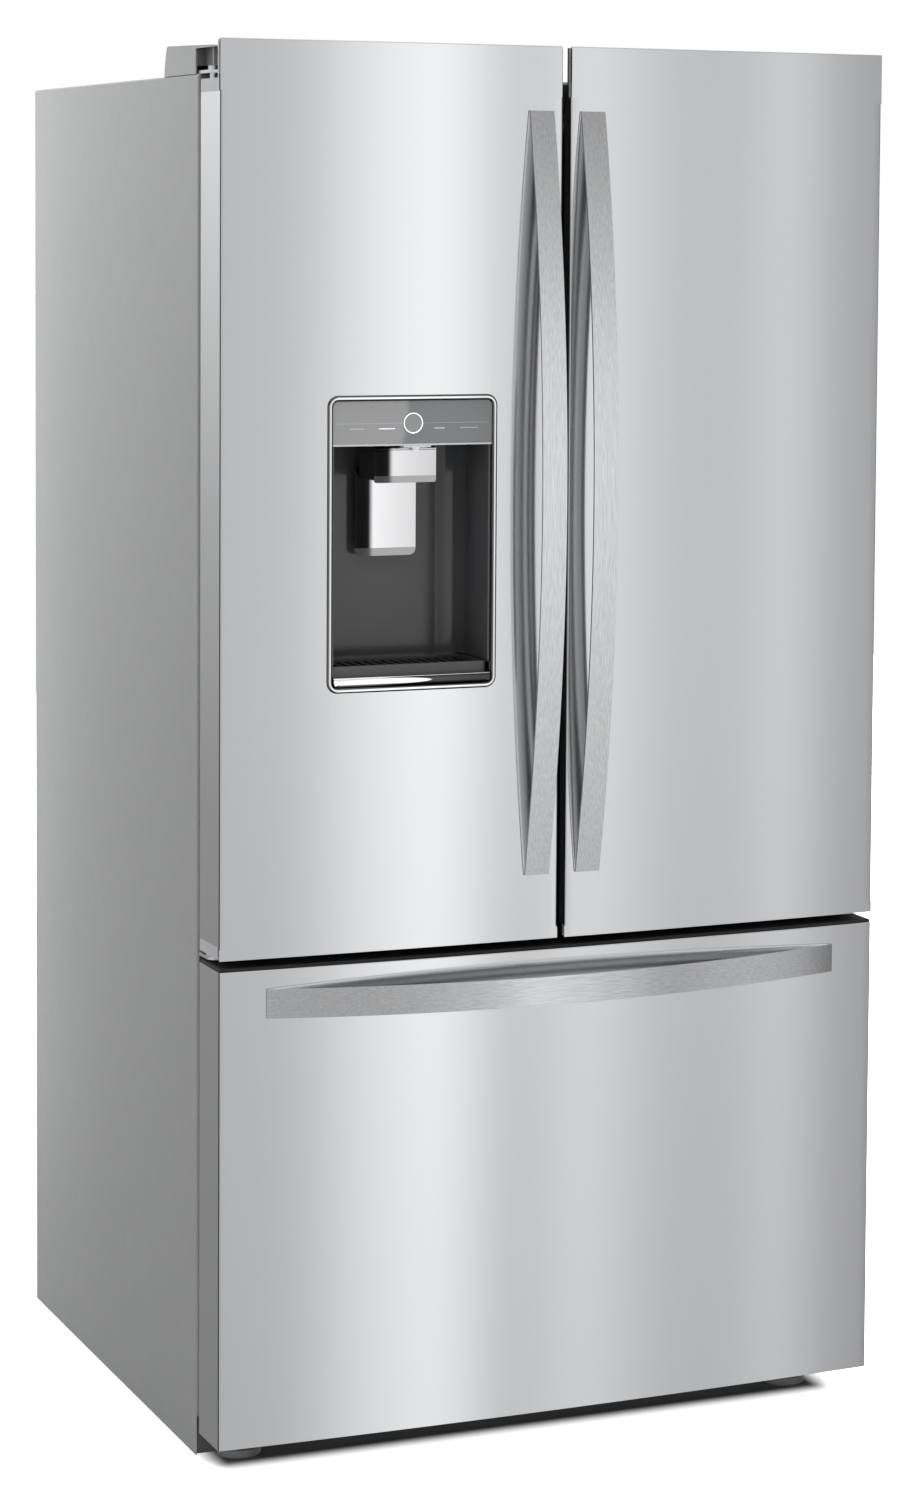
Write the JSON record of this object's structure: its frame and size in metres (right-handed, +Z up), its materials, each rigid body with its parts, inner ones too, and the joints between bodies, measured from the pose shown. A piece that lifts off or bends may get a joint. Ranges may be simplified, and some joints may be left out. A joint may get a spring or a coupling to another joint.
{
  "type": "french door refrigerator",
  "caption": "Free-standing refrigerator with two hinged upper doors, a water and ice dispenser in the left door, and a full-width freezer drawer below.",
  "frame": {"origin": "on the floor, at the middle of the bounding box", "axes": "+X to the right seen from the front, +Y to the back, +Z up"},
  "size_m": [0.905, 0.89, 1.781],
  "materials": {
    "side_paint": "satin grey paint",
    "galvanised": "galvanised sheet",
    "dark_paint": "black paint",
    "pale_paint": "satin pale grey paint",
    "foam": "rigid foam",
    "liner": "vacuum-formed sheet",
    "grey_cover": "fine-textured grey",
    "dark_plastic": "satin",
    "zinc": "zinc plated",
    "aluminium": "mill finish",
    "glass": "tempered",
    "clear_plastic": "clear, polished",
    "white_plastic": "smooth",
    "fan_plastic": "smooth",
    "stainless": "vertical brush",
    "handle_steel": "brushed lengthwise",
    "door_cap": "satin grey",
    "gasket": "soft",
    "chrome": "mirror",
    "panel_grey": "polished grey",
    "housing_grey": "satin dark grey",
    "button_grey": "polished grey with a pale ring",
    "foot_plastic": "satin"
  },
  "bodies": {
    "cabinet": {"cabinet_wrapper": "side_paint", "rear_panel": "galvanised", "base_pan": "galvanised", "machine_cover": "dark_plastic", "cabinet_foam": "foam", "fridge_liner": "liner", "freezer_liner": "liner", "centre_rail": "pale_paint", "hinge_covers": "grey_cover", "hinge_brackets": "zinc", "toe_grille": "dark_plastic", "compressor": "dark_paint", "condenser_unit": "dark_paint", "evaporator": "aluminium", "duct_covers": "white_plastic", "shelf_frames": "white_plastic", "shelf_glass": "glass", "water_valve": "white_plastic", "cabinet_slides": "zinc"},
    "condenser_fan": {"condenser_fan": "fan_plastic"},
    "evaporator_fan": {"evaporator_fan": "fan_plastic"},
    "left_crisper": {"left_crisper": "clear_plastic"},
    "right_crisper": {"right_crisper": "clear_plastic"},
    "deli_drawer": {"deli_drawer": "clear_plastic"},
    "left_foot": {"left_foot": "foot_plastic"},
    "right_foot": {"right_foot": "foot_plastic"},
    "rear_rollers": {"rear_rollers": "foot_plastic"},
    "left_door": {"left_door_skin": "stainless", "left_door_trim": "door_cap", "left_door_foam": "foam", "left_door_liner": "liner", "left_door_gasket": "gasket", "left_door_handle": "handle_steel", "left_door_bins": "clear_plastic", "dispenser_bezel": "chrome", "control_panel": "panel_grey", "dispenser_housing": "housing_grey", "drip_tray": "chrome", "ice_bin": "white_plastic"},
    "water_paddle": {"water_paddle": "chrome"},
    "ice_paddle": {"ice_paddle": "chrome"},
    "ring_button": {"ring_button": "button_grey"},
    "flip_mullion": {"flip_mullion": "pale_paint"},
    "right_door": {"right_door_skin": "stainless", "right_door_trim": "door_cap", "right_door_foam": "foam", "right_door_liner": "liner", "right_door_gasket": "gasket", "right_door_handle": "handle_steel", "right_door_bins": "clear_plastic"},
    "freezer_drawer": {"drawer_skin": "stainless", "drawer_trim": "door_cap", "drawer_foam": "foam", "drawer_liner": "liner", "drawer_gasket": "gasket", "drawer_handle": "handle_steel", "drawer_rails": "zinc", "lower_basket": "white_plastic"},
    "upper_basket": {"upper_basket": "white_plastic"},
    "middle_slides": {"middle_slides": "zinc"}
  },
  "joints": [
    {"name": "left_door_hinge", "type": "hinge", "parent": "cabinet", "child": "left_door", "pos_m": [-0.4415, -0.325, 1.2], "axis": [0, 0, -1], "range_deg": [0, 120]},
    {"name": "right_door_hinge", "type": "hinge", "parent": "cabinet", "child": "right_door", "pos_m": [0.4415, -0.325, 1.2], "axis": [0, 0, 1], "range_deg": [0, 120]},
    {"name": "mullion_fold", "type": "hinge", "parent": "left_door", "child": "flip_mullion", "pos_m": [-0.038, -0.2867, 1.2], "axis": [0, 0, -1], "range_deg": [0, 90]},
    {"name": "drawer_slide", "type": "slide", "parent": "cabinet", "child": "freezer_drawer", "axis": [0, -1, 0], "range_m": [0, 0.41]},
    {"name": "middle_rail_slide", "type": "slide", "parent": "cabinet", "child": "middle_slides", "axis": [0, -1, 0], "range_m": [0, 0.205]},
    {"name": "upper_basket_slide", "type": "slide", "parent": "cabinet", "child": "upper_basket", "axis": [0, -1, 0], "range_m": [0, 0.018]},
    {"name": "left_crisper_slide", "type": "slide", "parent": "cabinet", "child": "left_crisper", "axis": [0, -1, 0], "range_m": [0, 0.04]},
    {"name": "right_crisper_slide", "type": "slide", "parent": "cabinet", "child": "right_crisper", "axis": [0, -1, 0], "range_m": [0, 0.04]},
    {"name": "deli_drawer_slide", "type": "slide", "parent": "cabinet", "child": "deli_drawer", "axis": [0, -1, 0], "range_m": [0, 0.04]},
    {"name": "condenser_fan_spin", "type": "hinge", "parent": "cabinet", "child": "condenser_fan", "pos_m": [-0.024, 0.318, 0.175], "axis": [1, 0, 0], "continuous": true},
    {"name": "evaporator_fan_spin", "type": "hinge", "parent": "cabinet", "child": "evaporator_fan", "pos_m": [0, 0.322, 0.545], "axis": [0, 1, 0], "continuous": true},
    {"name": "left_foot_turn", "type": "hinge", "parent": "cabinet", "child": "left_foot", "pos_m": [-0.388, -0.272, 0.02], "axis": [0, 0, 1], "continuous": true},
    {"name": "right_foot_turn", "type": "hinge", "parent": "cabinet", "child": "right_foot", "pos_m": [0.388, -0.272, 0.02], "axis": [0, 0, 1], "continuous": true},
    {"name": "rear_wheels_roll", "type": "hinge", "parent": "cabinet", "child": "rear_rollers", "pos_m": [0, 0.372, 0.022], "axis": [1, 0, 0], "continuous": true},
    {"name": "water_paddle_push", "type": "hinge", "parent": "left_door", "child": "water_paddle", "pos_m": [-0.207, -0.37097, 1.279], "axis": [1, 0, 0], "range_deg": [0, 6], "stiffness_Nm_per_rad": 0.25, "springref_deg": -6.88},
    {"name": "ice_paddle_push", "type": "hinge", "parent": "left_door", "child": "ice_paddle", "pos_m": [-0.207, -0.30297, 1.246], "axis": [1, 0, 0], "range_deg": [0, 6], "stiffness_Nm_per_rad": 0.4, "springref_deg": -6.88},
    {"name": "ring_button_push", "type": "slide", "parent": "left_door", "child": "ring_button", "axis": [0, 1, 0], "range_m": [0, 0.0015], "stiffness_N_per_m": 400, "springref_m": -0.0015}
  ],
  "couplings": [
    {"joint": "middle_rail_slide", "follows": "drawer_slide", "ratio": 0.5}
  ]
}
